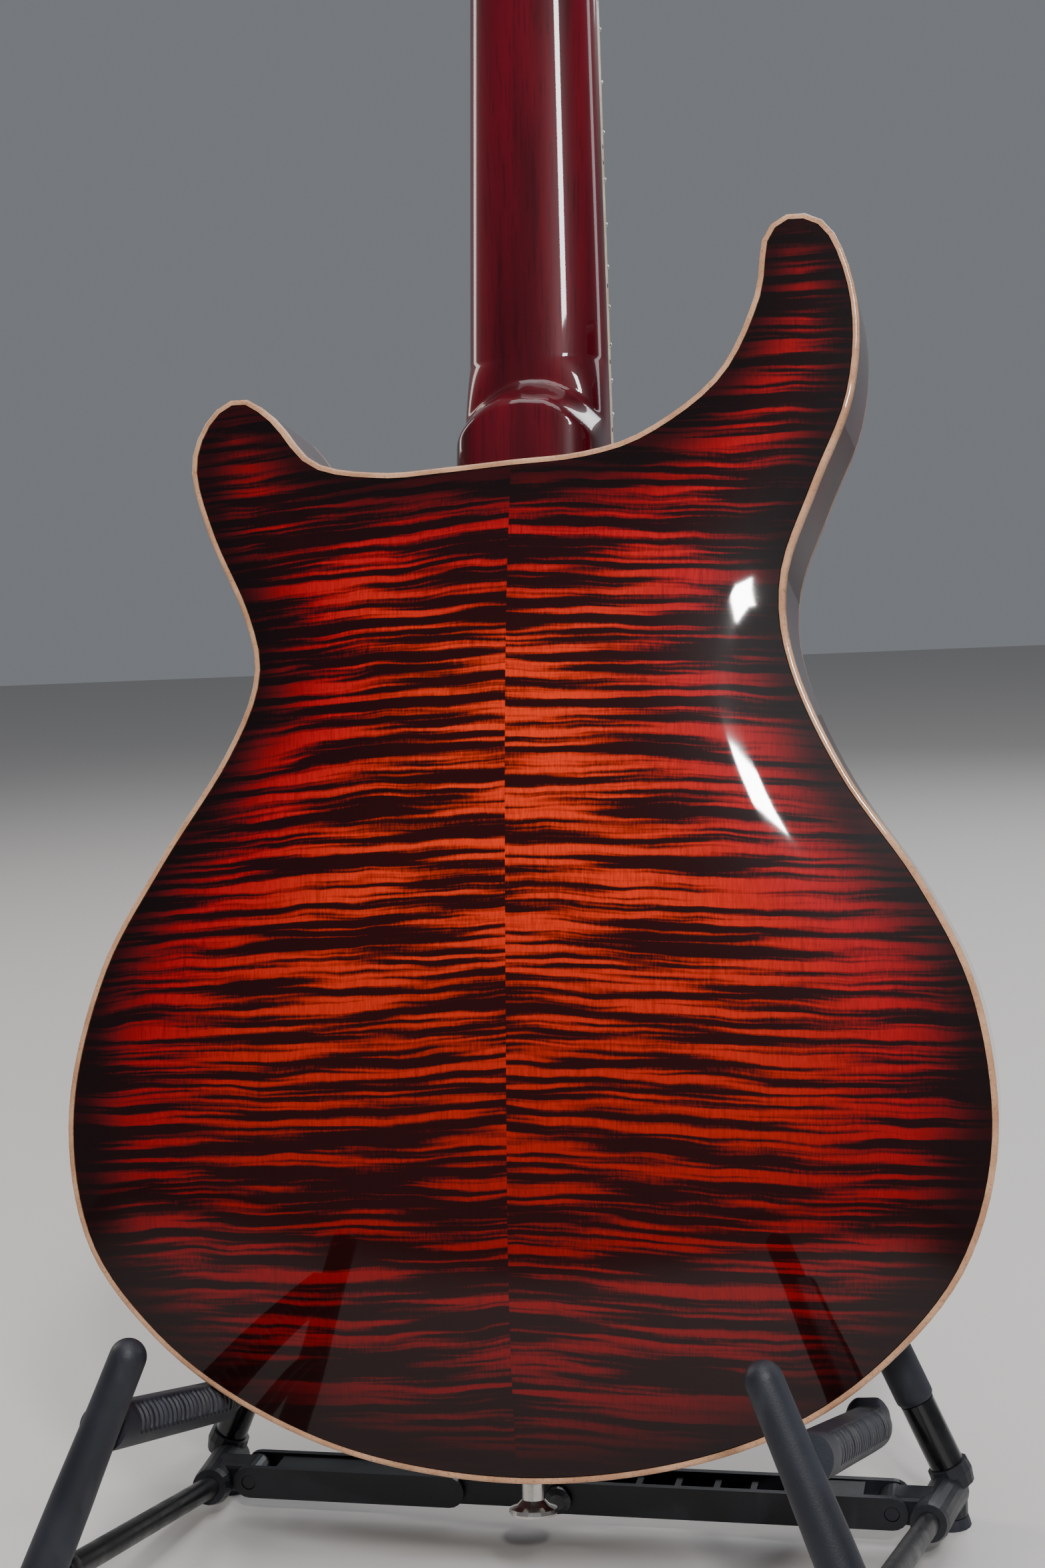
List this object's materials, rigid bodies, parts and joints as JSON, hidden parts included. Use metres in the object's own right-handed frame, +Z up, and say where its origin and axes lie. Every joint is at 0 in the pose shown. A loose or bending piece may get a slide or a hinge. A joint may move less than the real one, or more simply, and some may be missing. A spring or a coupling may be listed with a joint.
{
  "type": "guitar on stand",
  "caption": "Hollow-body electric guitar with an arched flamed back, resting in a low black folding floor stand with ribbed rubber arms.",
  "frame": {"origin": "centre of the bounding box at floor level", "axes": "+Z up, +X towards the bass side seen from behind the guitar, +Y from the guitar's back to its front, the way it leans"},
  "size_m": [0.3449, 0.3395, 1.0073],
  "materials": {
    "amber_plastic": "translucent amber",
    "black_plastic": "black",
    "black_rubber": "matte charcoal sleeve",
    "bone": "off-white bone substitute",
    "cream_binding": "aged cream plastic",
    "dark_steel": "darkened steel",
    "ebony": "oiled dark wood",
    "flamed_maple": "flamed maple under a red to dark burst gloss lacquer",
    "gloss_black": "gloss black enamel",
    "mahogany_gloss": "dark red gloss lacquer",
    "maple_binding": "pale natural edge under gloss lacquer",
    "neck_gloss": "wine red gloss lacquer",
    "nickel": "slightly aged nickel plating",
    "satin_plastic": "satin black moulded plastic",
    "string_steel": "bright wound wire"
  },
  "bodies": {
    "stand_left": {"backrest_left": "black_rubber", "corner_block_left": "satin_plastic", "front_foot_left": "black_rubber", "front_leg_left": "black_rubber", "rear_foot_left": "black_rubber", "rear_leg_left": "gloss_black", "seat_arm_left": "black_rubber", "stay_rod_left": "gloss_black"},
    "arm_left": {"cross_arm_left": "satin_plastic", "knee_bolt": "dark_steel"},
    "arm_right": {"cross_arm_right": "satin_plastic"},
    "stand_right": {"backrest_right": "black_rubber", "corner_block_right": "satin_plastic", "front_foot_right": "black_rubber", "front_leg_right": "black_rubber", "rear_foot_right": "black_rubber", "rear_leg_right": "gloss_black", "seat_arm_right": "black_rubber", "stay_rod_right": "gloss_black"},
    "guitar": {"back_binding": "maple_binding", "back_plate": "flamed_maple", "bridge": "nickel", "fretboard": "ebony", "fretboard_binding": "cream_binding", "jack_plate": "nickel", "neck": "neck_gloss", "nut": "bone", "pickup_bridge": "nickel", "pickup_neck": "nickel", "pickup_ring_bridge": "black_plastic", "pickup_ring_neck": "black_plastic", "pot_tone": "dark_steel", "pot_volume": "dark_steel", "rim": "mahogany_gloss", "strap_button_base": "nickel", "string_1": "string_steel", "string_2": "string_steel", "string_3": "string_steel", "string_4": "string_steel", "string_5": "string_steel", "string_6": "string_steel", "switch_body": "nickel", "top_binding": "maple_binding", "top_plate": "flamed_maple", "tuner_1": "nickel", "tuner_2": "nickel", "tuner_3": "nickel", "tuner_4": "nickel", "tuner_5": "nickel", "tuner_6": "nickel"},
    "knob_volume": {"knob_volume": "amber_plastic"},
    "knob_tone": {"knob_tone": "amber_plastic"},
    "switch_lever": {"switch_lever": "amber_plastic"},
    "tuner_key_1": {"tuner_key_1": "nickel"},
    "tuner_key_2": {"tuner_key_2": "nickel"},
    "tuner_key_3": {"tuner_key_3": "nickel"},
    "tuner_key_4": {"tuner_key_4": "nickel"},
    "tuner_key_5": {"tuner_key_5": "nickel"},
    "tuner_key_6": {"tuner_key_6": "nickel"}
  },
  "joints": [
    {"name": "fold", "type": "hinge", "parent": "stand_left", "child": "arm_left", "pos_m": [-0.1231, 0.0356, 0.0172], "axis": [0, -1, 0], "range_deg": [0, 50]},
    {"name": "knee", "type": "hinge", "parent": "arm_left", "child": "arm_right", "pos_m": [0.0029, 0.0356, 0.0172], "axis": [0, -1, 0], "range_deg": [-100, 0]},
    {"name": "fold_right", "type": "hinge", "parent": "arm_right", "child": "stand_right", "pos_m": [0.1289, 0.0356, 0.0172], "axis": [0, -1, 0], "range_deg": [0, 50]},
    {"name": "lift_off", "type": "slide", "parent": "stand_left", "child": "guitar", "axis": [0, -0.2924, 0.9563], "range_m": [0, 0.44]},
    {"name": "knob_volume_turn", "type": "hinge", "parent": "guitar", "child": "knob_volume", "pos_m": [-0.0631, 0.04802, 0.16023], "axis": [0, 0.9799, -0.1994], "range_deg": [-140, 140]},
    {"name": "knob_tone_turn", "type": "hinge", "parent": "guitar", "child": "knob_tone", "pos_m": [-0.0701, 0.03708, 0.11552], "axis": [0, 0.9799, -0.1994], "range_deg": [-140, 140]},
    {"name": "switch_throw", "type": "hinge", "parent": "guitar", "child": "switch_lever", "pos_m": [-0.0811, 0.08683, 0.37276], "axis": [1, 0, 0], "range_deg": [-12, 12]},
    {"name": "tuner_key_1_turn", "type": "hinge", "parent": "guitar", "child": "tuner_key_1", "pos_m": [0.0279, 0.13735, 0.8883], "axis": [1, 0, 0], "continuous": true},
    {"name": "tuner_key_2_turn", "type": "hinge", "parent": "guitar", "child": "tuner_key_2", "pos_m": [0.0279, 0.13731, 0.9263], "axis": [1, 0, 0], "continuous": true},
    {"name": "tuner_key_3_turn", "type": "hinge", "parent": "guitar", "child": "tuner_key_3", "pos_m": [0.0279, 0.13727, 0.9643], "axis": [1, 0, 0], "continuous": true},
    {"name": "tuner_key_4_turn", "type": "hinge", "parent": "guitar", "child": "tuner_key_4", "pos_m": [-0.0221, 0.13727, 0.9643], "axis": [1, 0, 0], "continuous": true},
    {"name": "tuner_key_5_turn", "type": "hinge", "parent": "guitar", "child": "tuner_key_5", "pos_m": [-0.0221, 0.13731, 0.9263], "axis": [1, 0, 0], "continuous": true},
    {"name": "tuner_key_6_turn", "type": "hinge", "parent": "guitar", "child": "tuner_key_6", "pos_m": [-0.0221, 0.13735, 0.8883], "axis": [1, 0, 0], "continuous": true}
  ],
  "couplings": [
    {"joint": "knee", "follows": "fold", "ratio": -2},
    {"joint": "fold_right", "follows": "fold", "ratio": 1},
    {"joint": "lift_off", "follows": "fold", "m_per_rad": 0.5}
  ]
}
